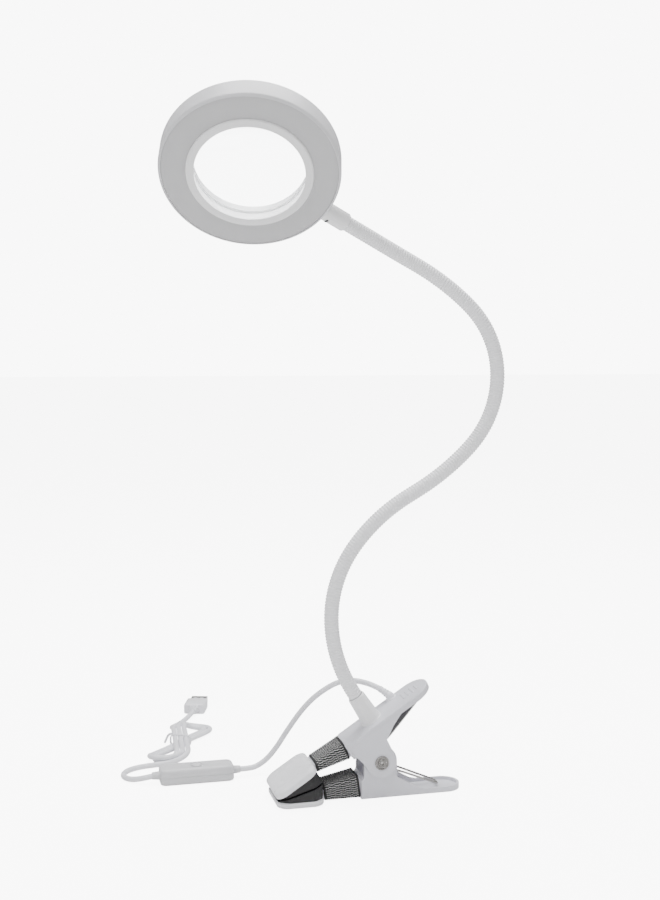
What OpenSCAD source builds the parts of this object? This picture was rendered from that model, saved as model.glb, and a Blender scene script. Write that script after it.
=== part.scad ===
// Clip-on magnifying lamp: ring light head on a flexible neck, sprung clip, USB lead.
// Millimetres. Z is up, X runs from the jaw tips to the handles, the clip stands on Z = 0.

/* [Ring head] */
// Outside diameter of the ring head
head_d = 101; // [98:0.5:106]
// Thickness of the ring head from face to back
head_t = 15; // [14:0.5:18]
// Wall thickness of the head's shell
head_wall = 1.6; // [1.2:0.1:2]
// Clear diameter of the lens inside its bezel
window_d = 61; // [58:0.5:62]
// Number of LEDs on the ring board
led_count = 36; // [18:3:42]
// Turn of the head about the end of the neck, in degrees
head_roll = 225; // [200:1:250]

/* [Flexible neck] */
// Diameter of the neck
neck_d = 9; // [8.6:0.1:10]
// Length of one neck section
section_l = 47; // [40:1:50]
// Height of the tapered collar at the neck's foot
collar_h = 18; // [14:1:24]

/* [Clip] */
// Height of the rivet above the standing surface
pivot_h = 22; // [21:0.5:24]
// Slope of the upper lever when the clip is closed, in degrees
jaw_angle = 33; // [32:0.5:34]
// Width of the upper lever
upper_w = 24; // [23:0.5:26]
// Width of the lower lever
lower_w = 20; // [19:0.5:21]
// Thickness of the levers' walls
clip_wall = 1.6; // [1.2:0.1:2]
// Width of the pads
pad_w = 36; // [30:1:40]
// Radius of the rivet
rivet_r = 2.5; // [2:0.1:2.8]

/* [USB lead] */
// Diameter of the cord
cord_d = 3.5; // [3:0.1:4]
// Length of the in-line switch
switch_l = 46; // [40:1:50]
// Width of the in-line switch
switch_w = 15.4; // [14:0.2:17]
// Height of the in-line switch
switch_h = 10; // [9:0.5:12]

/* [Hidden] */
$fn = 48;
far = 200;
// Running clearance of pins in bores, and of the balls in their cups
run_gap = 0.08;

// Neck: each section is one arc, or straight where its bend, in degrees, is 0
neck_bends = [32, 38, 25, -18, -44, -47, -17, 0];
// Sideways turn of the last section, towards -Y
tip_turn = 12;
neck_r = neck_d / 2;
ball_r = 3.2;
stem_r = 1.8;
// A section's body stops this far before the ball's centre
joint_gap = 3;
// A cup reaches this far past the ball's centre
cup_lip = 1.2;

// Head, in its own frame: the face looks along -Z, the stem leaves along +X
head_r = head_d / 2;
window_r = window_d / 2;
seat_r = 33.4;
inner_wall_r = seat_r + head_wall;
rim_in_r = head_r - head_wall;
back_z = head_t - head_wall;
lens_z0 = 6;
lens_edge = 3;
lens_bulge = 3.2;
lens_r = seat_r - 0.1;
lens_ball_r = (lens_r * lens_r + lens_bulge * lens_bulge) / (2 * lens_bulge);
board_z = 9.5;
board_t = 1.2;
led_r = 43.5;
screw_ring_r = 38;
stem_z = head_t / 2;
head_collar_r = 5.5;
head_collar_l = 15.5;
spigot_r = 3.5;

// Clip, upper lever in its own frame: u along the lever, v across it, origin at the rivet
web_top = 21.5;
web_t = 2;
web_low = web_top - web_t;
neck_u = 10;
stud_r = 4;
handle_r = upper_w / 2;
handle_end = 50.5;
lobe_r = 9.2;
relief_u = 28;
relief_y = 8.5;
relief_r = 2.4;

// Clip, lower lever
tray_end = 52.5;
tray_r = lower_w / 2;
ear_r = 10;
tray_h = 3.4;

// Arms that carry the pads, and the cord wound round them
arm_half = 8;
wrap_t = 1.3;

// Route of the lead from the strain relief to the switch
lead_route = [
  [5.5, 12.5, 60.5], [-1, 17, 63], [-9, 22, 64], [-17, 27, 62], [-24, 32, 57],
  [-31, 37, 50], [-37, 41, 42], [-42, 44, 34], [-47, 46.5, 25.5], [-52, 48.5, 17],
  [-58, 50, 9.5], [-65, 49.5, 5], [-71, 48.6, 4.6], [-76.5, 48, 5], [-80, 48, 5]
];
// Route from the switch to the hank
middle_route = [
  [-126, 48, 5], [-129.5, 48, 5], [-134.5, 48.8, 3.9], [-141, 51.5, 2.4], [-145.9, 57, 1.75],
  [-147.2, 64, 1.75], [-144, 71, 1.75], [-138, 75.4, 1.75], [-131.8, 77.8, 2], [-126.6, 79.6, 3]
];
// Route from the hank to the plug
tail_route = [
  [-105.3, 152.3, 2.2], [-101.5, 161, 1.75], [-95.4, 170.3, 1.9], [-90.5, 178, 3.1],
  [-87.08, 184.06, 3.8], [-86.2, 186.93, 3.8]
];
switch_at = [-103, 48, 0];
hank_at = [-104, 118, 0];
hank_turn = 65;
hank_len = 88;
hank_lobe_r = 14.5;
hank_h = 8;
plug_at = [-86.2, 186.93, 0];
plug_turn = 73;
plug_h = 7.6;

// ---------- helpers ----------

module ring(r_out, r_in, z0, z1) {
  rotate_extrude() translate([r_in, z0]) square([r_out - r_in, z1 - z0]);
}

// Rectangle with true round corners
module round_rect(size, r) {
  translate([r, 0]) square([size[0] - 2 * r, size[1]]);
  translate([0, r]) square([size[0], size[1] - 2 * r]);
  for (x = [r, size[0] - r], y = [r, size[1] - r]) translate([x, y]) circle(r);
}

// A flat profile drawn in X and Z, given its width along Y
module slab(width) {
  rotate([90, 0, 0]) linear_extrude(width, center = true) children();
}

// A straight rod between two points
module rod(from, to, r) {
  d = to - from;
  l = norm(d);
  translate(from) rotate([0, acos(d[2] / l), atan2(d[1], d[0])]) cylinder(r = r, h = l);
}

// ---------- frames ----------

module in_jaw() {
  translate([0, 0, pivot_h]) rotate([0, -jaw_angle, 0]) children();
}

last = len(neck_bends) - 1;
function arc_r(i) = section_l / (neck_bends[i] * PI / 180);

// Moves from the start of section i to its end
module past_section(i) {
  b = neck_bends[i];
  if (b == 0) translate([0, 0, section_l]) children();
  else translate([arc_r(i) * (1 - cos(b)), 0, arc_r(i) * sin(b)]) rotate([0, b, 0]) children();
}

module at_section(i) {
  if (i == 0) in_jaw() translate([neck_u, 0, web_top + collar_h + joint_gap]) children();
  else at_section(i - 1) past_section(i - 1) rotate([i == last ? tip_turn : 0, 0, 0]) children();
}

// The head's frame: the neck's end is on the stem's axis
module in_head() {
  at_section(last) past_section(last)
    rotate([0, 0, head_roll]) rotate([0, 90, 0])
      translate([-(head_r + head_collar_l), 0, -stem_z]) rotate([180, 0, 0])
        translate([0, 0, -head_t]) children();
}

// ---------- ring head ----------

module head_profile() {
  difference() {
    translate([seat_r, 0]) round_rect([head_r - seat_r, head_t], 1.4);
    translate([inner_wall_r, -1]) square([rim_in_r - inner_wall_r, back_z + 1]);
  }
}

module board_posts(r, z0, z1) {
  for (a = [60, 180, 300]) rotate([0, 0, a])
    translate([screw_ring_r, 0, z0]) cylinder(r = r, h = z1 - z0);
}

module head_housing() {
  color("gainsboro") in_head() difference() {
    union() {
      rotate_extrude() head_profile();
      board_posts(2.6, board_z + board_t, back_z + 0.1);
    }
    board_posts(1.05, board_z, back_z - 0.2);
    translate([rim_in_r - 4, 0, stem_z]) rotate([0, 90, 0]) cylinder(r = spigot_r + run_gap, h = 8);
  }
}

module light_diffuser() {
  color("silver") in_head() ring(rim_in_r - 0.05, inner_wall_r + 0.05, 0.3, 1.8);
}

module lens_bezel() {
  color("whitesmoke") in_head() rotate_extrude() polygon([
    [window_r, -1], [inner_wall_r - 0.4, -1], [inner_wall_r, -0.4], [inner_wall_r, 0],
    [seat_r - 0.05, 0], [seat_r - 0.05, lens_z0], [window_r + 1.2, lens_z0]
  ]);
}

module magnifier_lens() {
  mid = lens_z0 + lens_edge / 2;
  off = lens_ball_r - lens_bulge - lens_edge / 2;
  color("lightcyan") in_head() rotate_extrude() {
    translate([0, lens_z0]) square([lens_r, lens_edge]);
    intersection() {
      translate([0, lens_z0 - lens_bulge]) square([window_r + 0.7, lens_edge + 2 * lens_bulge]);
      translate([0, mid + off]) circle(lens_ball_r, $fn = 360);
      translate([0, mid - off]) circle(lens_ball_r, $fn = 360);
    }
  }
}

module rear_lens_ring() {
  color("gainsboro") in_head() rotate_extrude() polygon([
    [window_r + 1, lens_z0 + lens_edge], [seat_r - 0.05, lens_z0 + lens_edge],
    [seat_r - 0.05, head_t], [inner_wall_r, head_t], [inner_wall_r, head_t + 0.8], [window_r, head_t + 0.8]
  ]);
}

module led_board() {
  color("seagreen") in_head() difference() {
    ring(rim_in_r - 1.4, inner_wall_r + 1, board_z, board_z + board_t);
    board_posts(1.15, board_z - 1, board_z + board_t + 1);
    translate([45.3, -6.5, board_z - 1]) cube([10, 13, board_t + 2]);
  }
}

module leds() {
  color("lightyellow") in_head()
    for (i = [0 : led_count - 1]) rotate([0, 0, 360 * i / led_count])
      translate([led_r - 1.4, -1.75, board_z - 0.8]) cube([2.8, 3.5, 0.8]);
}

module board_screws() {
  color("silver") in_head() {
    board_posts(2, board_z - 1.3, board_z);
    board_posts(1, board_z - 0.1, back_z - 0.8);
  }
}

module head_collar() {
  color("white") in_head() translate([0, 0, stem_z]) difference() {
    union() {
      translate([rim_in_r - 3.5, 0, 0]) rotate([0, 90, 0]) cylinder(r = spigot_r, h = 7.3);
      difference() {
        translate([head_r - 3, 0, 0]) rotate([0, 90, 0])
          cylinder(r = head_collar_r, h = head_collar_l + 3);
        cylinder(r = head_r, h = far, center = true);
      }
      translate([head_r + head_collar_l - 0.1, 0, 0]) rotate([0, 90, 0])
        cylinder(r = neck_r, h = cup_lip + 0.1);
    }
    translate([head_r + head_collar_l, 0, 0]) sphere(ball_r + run_gap);
  }
}

module collar_nut() {
  color("silver") in_head() translate([rim_in_r - 3.4, 0, stem_z]) rotate([0, 90, 0]) difference() {
    cylinder(r = 5.6, h = 3, $fn = 6);
    translate([0, 0, -1]) cylinder(r = spigot_r + 0.03, h = 6);
  }
}

// ---------- flexible neck ----------

// One section: an arc with a cup at its start and a ball at its end
module neck_section(i) {
  b = neck_bends[i];
  r = b == 0 ? 0 : abs(arc_r(i));
  color("white") at_section(i) {
    difference() {
      union() {
        if (b == 0) cylinder(r = neck_r, h = section_l);
        else translate([sign(b) * r, 0, 0]) rotate([90, 0, b > 0 ? 180 : 0])
          rotate_extrude(angle = abs(b)) translate([r, 0]) circle(neck_r);
        translate([0, 0, -cup_lip]) cylinder(r = neck_r, h = cup_lip + 0.05);
      }
      sphere(ball_r + run_gap);
      past_section(i) translate([0, 0, -joint_gap]) cylinder(r = neck_d, h = 2 * joint_gap);
    }
    past_section(i) {
      translate([0, 0, -joint_gap - 0.5]) cylinder(r = stem_r, h = joint_gap);
      sphere(ball_r);
    }
  }
}

module neck_base_collar() {
  color("white") in_jaw() translate([neck_u, 0, web_top]) {
    cylinder(r1 = 6.3, r2 = 5.1, h = collar_h);
    translate([0, 0, -web_t - 4]) cylinder(r = stud_r, h = web_t + 4.1);
    translate([0, 0, collar_h - 0.1]) cylinder(r = stem_r, h = joint_gap);
    translate([0, 0, collar_h + joint_gap]) sphere(ball_r);
  }
}

module neck_nut() {
  color("silver") in_jaw() translate([neck_u, 0, web_low - 3.5]) difference() {
    cylinder(r = 7.5, h = 3.5, $fn = 6);
    translate([0, 0, -1]) cylinder(r = stud_r + 0.04, h = 6);
  }
}

// ---------- clip, upper lever ----------

module upper_plan(inset) {
  h = handle_r - inset;
  translate([handle_end - handle_r, 0]) circle(h);
  polygon([
    [-12.6, -h + 1.5], [-10.6, -h], [handle_end - handle_r, -h],
    [handle_end - handle_r, h], [-10.6, h], [-12.6, h - 1.5]
  ]);
}

module upper_side() {
  circle(lobe_r);
  polygon([
    [-12.6, web_top], [-12.6, 11.7], [-10.4, 11.5], [-lobe_r, 5], [-lobe_r, 0], [lobe_r, 0],
    [10.3, 9.9], [18, 14.6], [26, 18], [38, 17.8], [handle_end, 18], [handle_end, web_top]
  ]);
}

module upper_arm() {
  slab(2 * arm_half) polygon([[-34, 18.9], [-12.4, 13], [-12.4, 22.1], [-34, 22.9]]);
  translate([-58, -6, 21]) cube([25, 12, 1.9]);
}

module upper_jaw() {
  color("gainsboro") in_jaw() difference() {
    union() {
      intersection() {
        slab(upper_w) upper_side();
        translate([0, 0, -30]) linear_extrude(60) upper_plan(0);
      }
      upper_arm();
    }
    translate([0, 0, -30]) linear_extrude(30 + web_low) difference() {
      upper_plan(clip_wall);
      translate([-20, -20]) square([9.2, 40]);
    }
    rotate([90, 0, 0]) cylinder(r = rivet_r + run_gap, h = 40, center = true);
    translate([neck_u, 0, 10]) cylinder(r = stud_r + run_gap, h = 20);
    translate([relief_u, relief_y, 10]) cylinder(r = relief_r + run_gap, h = 20);
  }
}

// Pad outline: a rectangle with bowed sides and round corners
module pad_outline(l, w) {
  intersection() {
    translate([-l / 2, -w / 2]) round_rect([l, w], 6);
    circle(r = norm([l, w]) / 2 - 3.2);
  }
}

module upper_pad_shell() {
  color("white") in_jaw() difference() {
    translate([-48.4, 0, 21]) linear_extrude(4.4) pad_outline(28.6, pad_w);
    translate([-58.1, -6.1, 20]) cube([40, 12.2, 3]);
  }
}

module upper_rubber_pad() {
  color("dimgray") in_jaw() difference() {
    intersection() {
      slab(pad_w) polygon([[-62, 20.9], [-34.8, 20.9], [-34.8, 12.9], [-62, 20.6]]);
      translate([-48.4, 0, 0]) linear_extrude(40) pad_outline(27.4, pad_w - 2);
    }
    translate([-58.1, -6.1, 20.9]) cube([40, 12.2, 3]);
  }
}

module upper_wrap() {
  color("dimgray") in_jaw() difference() {
    slab(2 * (arm_half + wrap_t)) polygon([[-33.8, 17.6], [-13, 11.8], [-13, 23.4], [-33.8, 24.1]]);
    upper_arm();
  }
}

module cord_relief() {
  color("white") in_jaw() {
    difference() {
      rod([relief_u, relief_y, web_top - 3], [relief_u, relief_y, web_top - 3] + [0, 0, 3.4], relief_r);
      translate([relief_u - 5, relief_y - 5, web_top - 10]) cube([10, 10, 6.9]);
    }
    difference() {
      rotate([0, jaw_angle, 0]) translate([0, 0, -pivot_h])
        rod(relief_root(), relief_tip(), 2.3);
      translate([relief_u - 20, relief_y - 20, web_top - 20]) cube([40, 40, 20]);
    }
  }
}

// The strain relief's foot on the handle and its tip, just short of the cord, in the model's frame
function relief_root() = [
  relief_u * cos(jaw_angle) - web_low * sin(jaw_angle), relief_y,
  pivot_h + relief_u * sin(jaw_angle) + web_low * cos(jaw_angle)
];
function relief_tip() = let (d = lead_route[0] - relief_root()) lead_route[0] - 1.2 * d / norm(d);

// ---------- clip, lower lever ----------

module lower_plan(inset) {
  h = tray_r - inset;
  translate([tray_end - tray_r, 0]) circle(h);
  translate([-12, -h]) square([12 + tray_end - tray_r, 2 * h]);
}

module lower_side() {
  translate([0, pivot_h]) circle(ear_r);
  polygon([
    [-12, 0], [-12, 11], [-10.7, 12.5], [-ear_r, pivot_h], [ear_r, pivot_h], [10.2, 11.8],
    [24, 4.4], [28, tray_h], [tray_end, tray_h], [tray_end, 0]
  ]);
}

module lower_arm() {
  slab(2 * arm_half) polygon([[-35.4, 1.4], [-11.9, 1.4], [-11.9, 11], [-13.5, 13.2], [-35.4, 8.6]]);
  translate([-60, -6, 1.4]) cube([26, 12, 1.8]);
}

module lower_jaw() {
  color("gainsboro") difference() {
    union() {
      intersection() {
        slab(lower_w) lower_side();
        linear_extrude(60) lower_plan(0);
      }
      lower_arm();
    }
    translate([0, 0, clip_wall]) linear_extrude(60) difference() {
      lower_plan(clip_wall);
      translate([-20, -20]) square([9.6, 40]);
    }
    translate([-40, -20, 13.4]) cube([29.6, 40, 40]);
    translate([0, 0, pivot_h]) rotate([90, 0, 0]) cylinder(r = rivet_r + run_gap, h = 40, center = true);
  }
}

module lower_pad_shell() {
  color("white") difference() {
    translate([-50, 0, 0]) linear_extrude(3.8) pad_outline(28.6, pad_w);
    translate([-60.1, -6.1, 1.3]) cube([40, 12.2, 2]);
  }
}

module lower_rubber_pad() {
  color("dimgray") intersection() {
    slab(pad_w) polygon([[-63.6, 3.8], [-36.4, 3.8], [-36.4, 12.5], [-63.6, 4.3]]);
    translate([-50, 0, 0]) linear_extrude(40) pad_outline(27.4, pad_w - 2);
  }
}

module lower_wrap() {
  color("dimgray") difference() {
    slab(2 * (arm_half + wrap_t))
      polygon([[-35.2, 0.1], [-12.1, 0.1], [-12.1, 11.4], [-14.4, 14.6], [-35.2, 9.9]]);
    lower_arm();
  }
}

// ---------- rivet and spring ----------

module pivot_rivet() {
  reach = upper_w / 2 + 1;
  color("silver") translate([0, 0, pivot_h]) rotate([90, 0, 0]) {
    cylinder(r = rivet_r, h = 2 * reach, center = true);
    for (s = [-1, 1]) translate([0, 0, s * (reach + 0.4)]) cylinder(r = 3.1, h = 0.8, center = true);
  }
}

module rivet_washers() {
  color("gray") translate([0, 0, pivot_h]) rotate([90, 0, 0])
    for (s = [-1, 1]) translate([0, 0, s * (upper_w / 2 + 0.55)]) difference() {
      cylinder(r = 4.3, h = 0.9, center = true);
      cylinder(r = rivet_r + run_gap, h = 2, center = true);
    }
}

module torsion_spring() {
  wire_r = 0.7;
  coil_r = 4.6;
  color("silver") {
    translate([0, 0, pivot_h]) rotate([90, 0, 0]) difference() {
      cylinder(r = coil_r, h = 12, center = true);
      cylinder(r = coil_r - 1.5, h = 13, center = true);
    }
    for (y = [-3.5, 3.5]) {
      rod([2, y, pivot_h - 3.9], [38, y, 3.6], wire_r);
      in_jaw() rod([2, y, 3.9], [40, y, 15.4], wire_r);
    }
    translate([38, 0, 3.6]) rotate([90, 0, 0]) cylinder(r = wire_r, h = 8.4, center = true);
    in_jaw() translate([40, 0, 15.4]) rotate([90, 0, 0]) cylinder(r = wire_r, h = 8.4, center = true);
  }
}

// ---------- USB lead ----------

// A tube swept along a route: one eight-sided ring at each point, square to the route there
function route_dir(p, i) =
  let (a = p[max(i - 1, 0)], b = p[min(i + 1, len(p) - 1)]) (b - a) / norm(b - a);
function side_of(d) = let (s = cross(d, [0, 0, 1])) s / norm(s);

module tube(p, r) {
  sides = 8;
  n = len(p);
  pts = [
    for (i = [0 : n - 1]) let (d = route_dir(p, i), s = side_of(d), u = cross(s, d))
      for (k = [0 : sides - 1]) let (a = 360 * (k + 0.5) / sides) p[i] + r * (cos(a) * s + sin(a) * u)
  ];
  walls = [
    for (i = [0 : n - 2], k = [0 : sides - 1])
      let (a = i * sides + k, b = i * sides + (k + 1) % sides) [a, b, b + sides, a + sides]
  ];
  ends = [[for (k = [0 : sides - 1]) sides - 1 - k], [for (k = [0 : sides - 1]) (n - 1) * sides + k]];
  polyhedron(points = pts, faces = concat(
    [for (f = walls) [f[0], f[2], f[1]]], [for (f = walls) [f[0], f[3], f[2]]],
    [for (k = [1 : sides - 2]) [ends[0][0], ends[0][k + 1], ends[0][k]]],
    [for (k = [1 : sides - 2]) [ends[1][0], ends[1][k + 1], ends[1][k]]]
  ));
}

module cord_lead() {
  color("white") tube(lead_route, cord_d / 2);
}

module cord_middle() {
  color("white") tube(middle_route, cord_d / 2);
}

module cord_tail() {
  color("white") tube(tail_route, cord_d / 2);
}

module switch_outline(inset) {
  translate([-switch_l / 2 + inset, -switch_w / 2 + inset])
    round_rect([switch_l - 2 * inset, switch_w - 2 * inset], 3 - inset / 2);
}

module switch_bottom_cover() {
  half = switch_h / 2;
  color("gainsboro") translate(switch_at) difference() {
    linear_extrude(half) switch_outline(0);
    translate([0, 0, 1.2]) linear_extrude(half) switch_outline(1.4);
  }
}

module switch_top_cover() {
  half = switch_h / 2;
  color("gainsboro") translate(switch_at + [0, 0, half]) difference() {
    linear_extrude(half) switch_outline(0);
    translate([0, 0, -1]) linear_extrude(half - 0.2) switch_outline(1.4);
    translate([0, 0, -1]) cylinder(r = 3.2, h = switch_h);
    translate([0, 0, half - 0.7]) cylinder(r = 4.45, h = 2);
  }
}

module switch_button() {
  color("white") translate(switch_at + [0, 0, switch_h - 4.4]) cylinder(r = 3.05, h = 4.9);
}

module switch_contacts() {
  color("dimgray") translate(switch_at + [-6, -4, 1.2]) cube([12, 8, 3]);
}

module hank_outline() {
  lobe = hank_len / 2 - hank_lobe_r;
  for (s = [-1, 1]) translate([s * lobe, 0]) circle(hank_lobe_r);
  polygon([
    [-lobe, -hank_lobe_r], [-3, -7.3], [3, -7.3], [lobe, -hank_lobe_r],
    [lobe, hank_lobe_r], [3, 7.3], [-3, 7.3], [-lobe, hank_lobe_r]
  ]);
}

module tie_band(w, grow) {
  translate([-w / 2, -6.4 - grow, 1 - grow]) cube([w, 12.8 + 2 * grow, hank_h - 1.4 + 2 * grow]);
}

module cord_hank() {
  color("white") translate(hank_at) rotate([0, 0, hank_turn]) difference() {
    linear_extrude(hank_h) hank_outline();
    difference() {
      translate([-1.6, -20, -1]) cube([3.2, 40, 20]);
      tie_band(4, 0);
    }
  }
}

module hank_tie() {
  color("white") translate(hank_at) rotate([0, 0, hank_turn]) difference() {
    tie_band(2.4, 1);
    tie_band(4, 0.04);
  }
}

module in_plug() {
  translate(plug_at) rotate([0, 0, plug_turn]) children();
}

module usb_overmould() {
  color("white") in_plug() difference() {
    union() {
      translate([0, 0, plug_h / 2]) rotate([0, 90, 0]) cylinder(r1 = 2.8, r2 = 3.7, h = 6.2);
      translate([6, -7.7, 0]) cube([17, 15.4, plug_h]);
    }
    translate([13, -6, plug_h / 2 - 2.25]) cube([20, 12, 4.5]);
  }
}

module usb_shell() {
  color("silver") in_plug() translate([13, -6, plug_h / 2 - 2.25]) difference() {
    cube([21, 12, 4.5]);
    translate([0.3, 0.3, 0.3]) cube([30, 11.4, 3.9]);
    for (y = [2.6, 7]) translate([14, y, 4]) cube([2.4, 2.4, 2]);
  }
}

module usb_tongue() {
  color("white") in_plug() translate([13.3, -5.7, plug_h / 2]) cube([19.9, 11.4, 1.95]);
}

module usb_contacts() {
  color("gold") in_plug()
    for (y = [-3.5, -1.2, 1.2, 3.5]) translate([20, y - 0.5, plug_h / 2 - 0.2]) cube([12, 1, 0.2]);
}

head_housing();
light_diffuser();
lens_bezel();
magnifier_lens();
rear_lens_ring();
led_board();
leds();
board_screws();
head_collar();
collar_nut();
neck_section(0);  // neck_section_1
neck_section(1);  // neck_section_2
neck_section(2);  // neck_section_3
neck_section(3);  // neck_section_4
neck_section(4);  // neck_section_5
neck_section(5);  // neck_section_6
neck_section(6);  // neck_section_7
neck_section(7);  // neck_section_8
neck_base_collar();
neck_nut();
upper_jaw();
upper_pad_shell();
upper_rubber_pad();
upper_wrap();
cord_relief();
lower_jaw();
lower_pad_shell();
lower_rubber_pad();
lower_wrap();
pivot_rivet();
rivet_washers();
torsion_spring();
cord_lead();
switch_bottom_cover();
switch_top_cover();
switch_button();
switch_contacts();
cord_middle();
cord_hank();
hank_tie();
cord_tail();
usb_overmould();
usb_shell();
usb_tongue();
usb_contacts();
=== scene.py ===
import math

import bmesh
import bpy
from mathutils import Matrix, Vector


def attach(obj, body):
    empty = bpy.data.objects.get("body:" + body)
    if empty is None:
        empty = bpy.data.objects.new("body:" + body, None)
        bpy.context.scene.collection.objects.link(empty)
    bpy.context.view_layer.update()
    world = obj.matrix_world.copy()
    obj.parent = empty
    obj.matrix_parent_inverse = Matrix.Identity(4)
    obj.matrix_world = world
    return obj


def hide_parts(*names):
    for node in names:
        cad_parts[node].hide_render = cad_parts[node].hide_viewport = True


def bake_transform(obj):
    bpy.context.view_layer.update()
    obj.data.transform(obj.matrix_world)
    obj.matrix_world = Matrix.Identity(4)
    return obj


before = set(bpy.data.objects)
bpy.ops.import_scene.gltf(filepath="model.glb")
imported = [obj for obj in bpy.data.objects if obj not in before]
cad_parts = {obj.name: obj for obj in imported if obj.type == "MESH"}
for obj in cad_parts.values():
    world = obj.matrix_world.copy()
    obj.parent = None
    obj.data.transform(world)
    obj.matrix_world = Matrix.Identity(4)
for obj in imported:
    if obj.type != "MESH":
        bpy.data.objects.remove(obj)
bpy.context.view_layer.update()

# All sizes below are in millimetres and turned into metres when a mesh is made.
MM = 0.001
PI = math.pi
CORD_R = 1.75          # the USB lead
NECK_R = 4.5           # the sleeve's crest
RIB_PITCH = 1.8        # the sleeve's ribs
RIB_DEPTH = 0.36
HEAD_R = 50.5          # the ring head's rim
HEAD_T = 15            # the ring head's depth
WRAP_PITCH = 1.24      # the cord wound round the arms
WRAP_R = 0.66
PIVOT_Z = 22           # the rivet's height
BEVEL_ANGLE = 30       # edges sharper than this are softened


# ---------- small helpers ----------

def shift(x, y, z):
    return Matrix.Translation((x, y, z))


def turn(degrees, axis):
    return Matrix.Rotation(math.radians(degrees), 4, axis)


def smoothstep(x):
    x = min(1.0, max(0.0, x))
    return x * x * (3 - 2 * x)


def catmull(points, per_span):
    """A smooth line through the points."""
    points = [Vector(p) for p in points]
    line = []
    for i in range(len(points) - 1):
        p0 = points[max(i - 1, 0)]
        p1, p2 = points[i], points[i + 1]
        p3 = points[min(i + 2, len(points) - 1)]
        for k in range(per_span):
            t = k / per_span
            line.append(0.5 * (2 * p1 + (p2 - p0) * t + (2 * p0 - 5 * p1 + 4 * p2 - p3) * t * t
                               + (3 * p1 - p0 - 3 * p2 + p3) * t ** 3))
    line.append(points[-1])
    return line


def lengths(line):
    """The length along a line at each of its points."""
    s = [0.0]
    for a, b in zip(line, line[1:]):
        s.append(s[-1] + (b - a).length)
    return s


def resample(line, step):
    """The same line with its points evenly spaced."""
    s = lengths(line)
    count = max(2, round(s[-1] / step))
    out, j = [], 0
    for i in range(count + 1):
        want = s[-1] * i / count
        while j < len(line) - 2 and s[j + 1] < want:
            j += 1
        f = (want - s[j]) / max(1e-9, s[j + 1] - s[j])
        out.append(line[j].lerp(line[j + 1], min(1.0, f)))
    return out


def relax(line, rounds, keep):
    """Evens out kinks, with keep points at each end left where they are."""
    line = [p.copy() for p in line]
    for _ in range(rounds):
        line = [p if i < keep or i >= len(line) - keep else (line[i - 1] + 2 * p + line[i + 1]) / 4
                for i, p in enumerate(line)]
    return line


def rounded(corners, steps=5):
    """A closed profile from corners (x, y, radius), each turned with an arc."""
    out = []
    n = len(corners)
    for i, (x, y, r) in enumerate(corners):
        p = Vector((x, y))
        a = Vector(corners[i - 1][:2]) - p
        b = Vector(corners[(i + 1) % n][:2]) - p
        if r <= 0:
            out.append((x, y))
            continue
        angle = a.angle(b)
        reach = min(r / math.tan(angle / 2), 0.49 * a.length, 0.49 * b.length)
        radius = reach * math.tan(angle / 2)
        start, end = p + a.normalized() * reach, p + b.normalized() * reach
        centre = p + (a.normalized() + b.normalized()).normalized() * math.hypot(reach, radius)
        for k in range(steps + 1):
            q = (start - centre).lerp(end - centre, k / steps)
            q = centre + q.normalized() * radius
            out.append((q.x, q.y))
    return out


# ---------- making objects ----------

def make(name, verts, faces, material, uvs=None):
    """A mesh object from points in millimetres in the model's frame."""
    mesh = bpy.data.meshes.new(name)
    mesh.from_pydata([Vector(v) * MM for v in verts], [], faces)
    mesh.update()
    if uvs:
        layer = mesh.uv_layers.new(name="UVMap")
        for loop in mesh.loops:
            layer.data[loop.index].uv = uvs[loop.vertex_index]
    bm = bmesh.new()
    bm.from_mesh(mesh)
    bmesh.ops.recalc_face_normals(bm, faces=bm.faces)
    bm.to_mesh(mesh)
    bm.free()
    mesh.polygons.foreach_set("use_smooth", [True] * len(mesh.polygons))
    mesh.materials.append(material)
    obj = bpy.data.objects.new(name, mesh)
    bpy.context.scene.collection.objects.link(obj)
    return obj


def crease(obj, degrees=35):
    """Keeps true edges sharp on a smooth-shaded mesh."""
    bm = bmesh.new()
    bm.from_mesh(obj.data)
    for edge in bm.edges:
        if len(edge.link_faces) == 2 and edge.calc_face_angle(0) > math.radians(degrees):
            edge.smooth = False
    bm.to_mesh(obj.data)
    bm.free()
    return obj


def piece(obj, body, slot, *nodes):
    """Puts an object on a body and hides the CAD nodes that it stands for; slot is not used."""
    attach(obj, body)
    if nodes:
        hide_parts(*nodes)
    return obj


def lathe(name, profile, place, material, steps=128, closed=True):
    """A profile of (radius, height) turned about the Z axis of place."""
    verts, faces, rows = [], [], []
    for r, z in profile:
        if r < 1e-6:
            rows.append([len(verts)])
            verts.append(place @ Vector((0, 0, z)))
            continue
        rows.append(list(range(len(verts), len(verts) + steps)))
        for k in range(steps):
            a = 2 * PI * k / steps
            verts.append(place @ Vector((r * math.cos(a), r * math.sin(a), z)))
    pairs = list(zip(rows, rows[1:])) + ([(rows[-1], rows[0])] if closed else [])
    for a, b in pairs:
        for k in range(steps):
            m = (k + 1) % steps
            if len(a) == 1 and len(b) == 1:
                break
            if len(a) == 1:
                faces.append((a[0], b[m], b[k]))
            elif len(b) == 1:
                faces.append((a[k], a[m], b[0]))
            else:
                faces.append((a[k], a[m], b[m], b[k]))
    return crease(make(name, verts, faces, material))


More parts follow.
